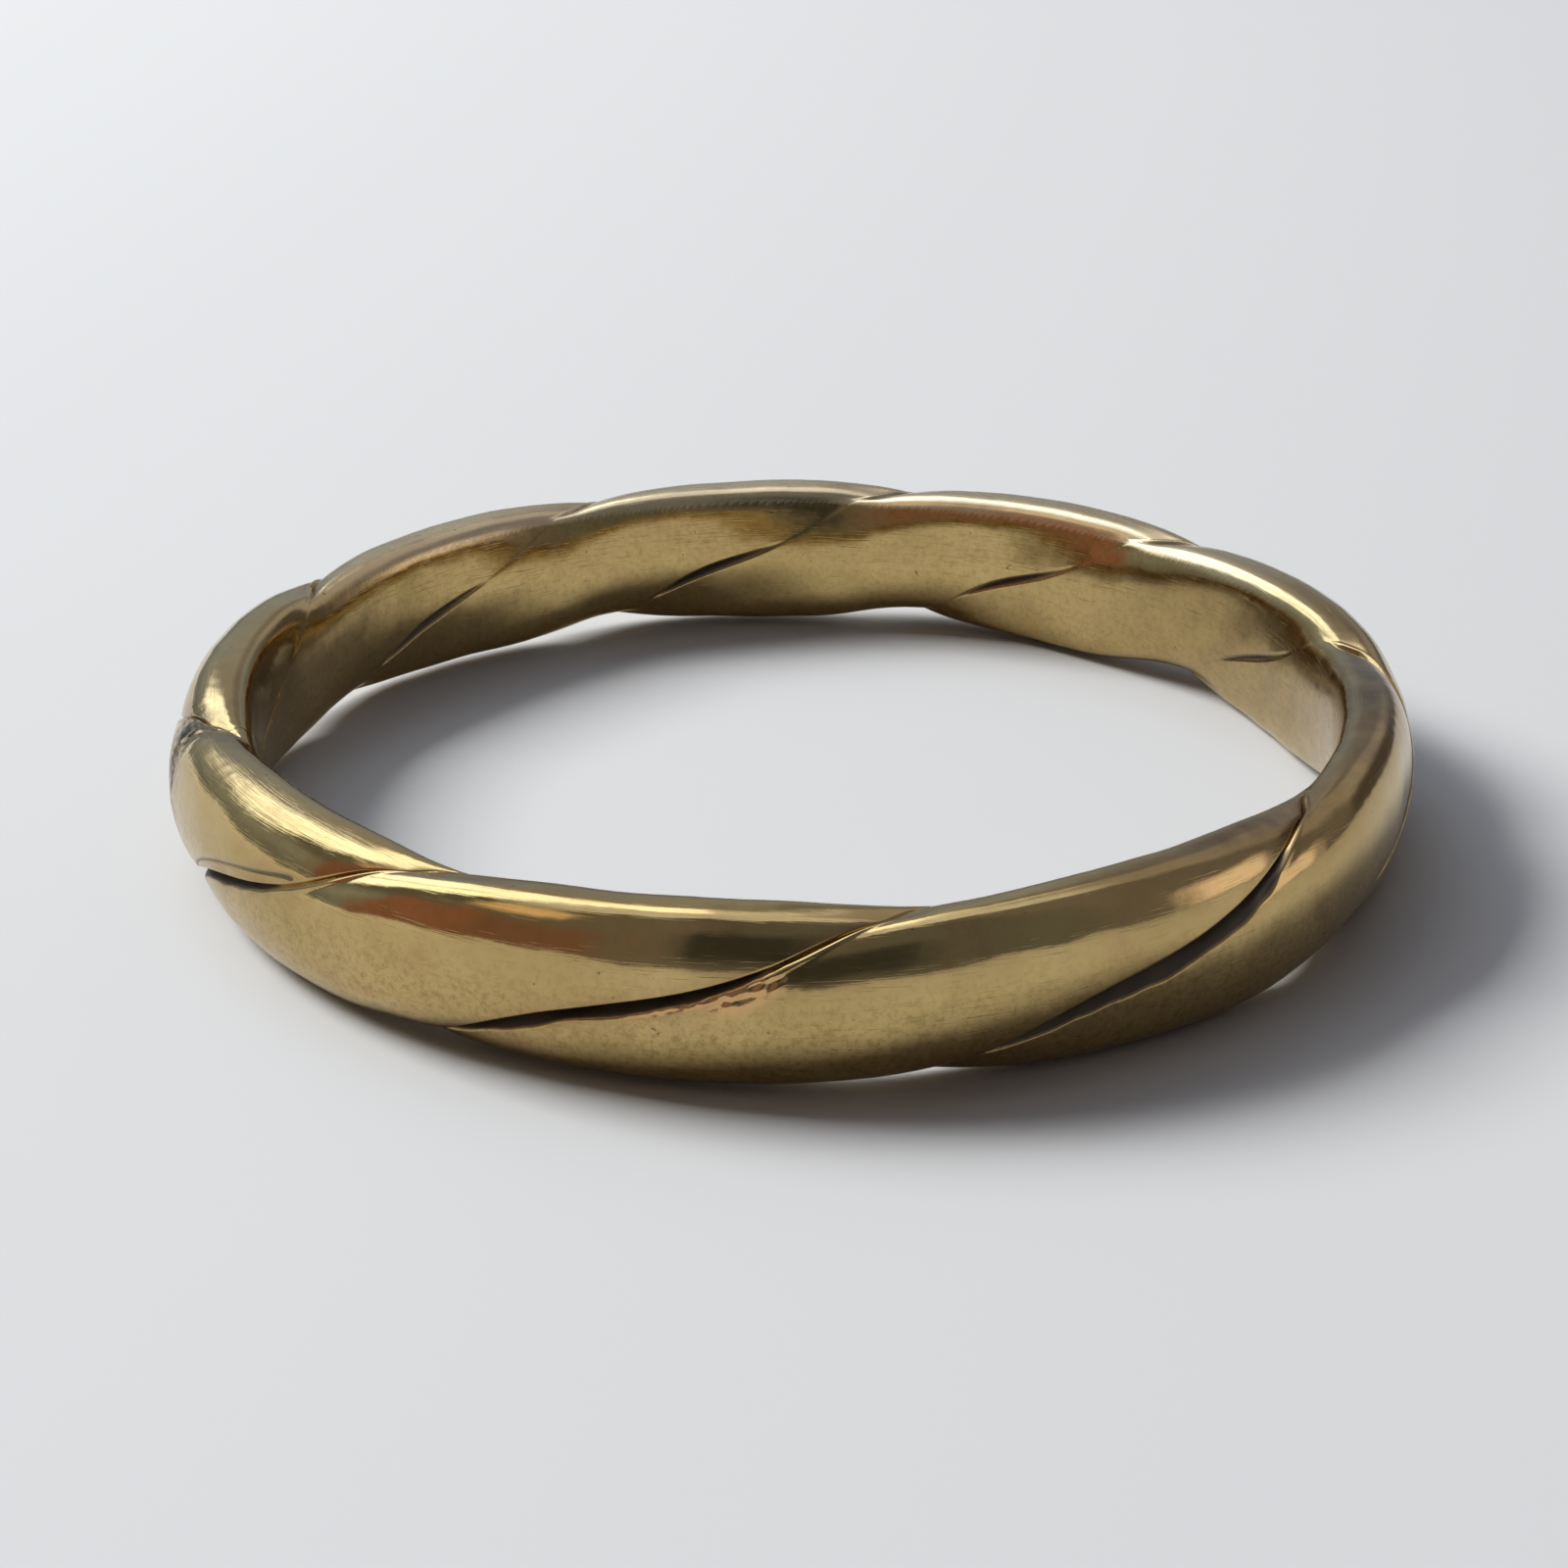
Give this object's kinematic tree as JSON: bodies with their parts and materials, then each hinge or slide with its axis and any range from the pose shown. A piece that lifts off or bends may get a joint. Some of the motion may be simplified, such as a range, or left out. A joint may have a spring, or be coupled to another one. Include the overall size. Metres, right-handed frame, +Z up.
{
  "type": "wedding band",
  "caption": "Narrow wedding band of half-round gold strands twisted together round a plain finger hole.",
  "frame": {"origin": "under the middle of the band, on the surface that it rests on", "axes": "+Z up along the finger hole's axis, -Y towards the front of the band, +X to the right seen from the front"},
  "size_m": [0.02, 0.02, 0.0028],
  "materials": {
    "gold": "worn polished 9 carat yellow gold",
    "gold_solder": "tarnished gold solder"
  },
  "bodies": {
    "root": {"strand_a": "gold", "strand_b": "gold", "seam_solder": "gold_solder", "closure_solder": "gold_solder"}
  },
  "joints": []
}
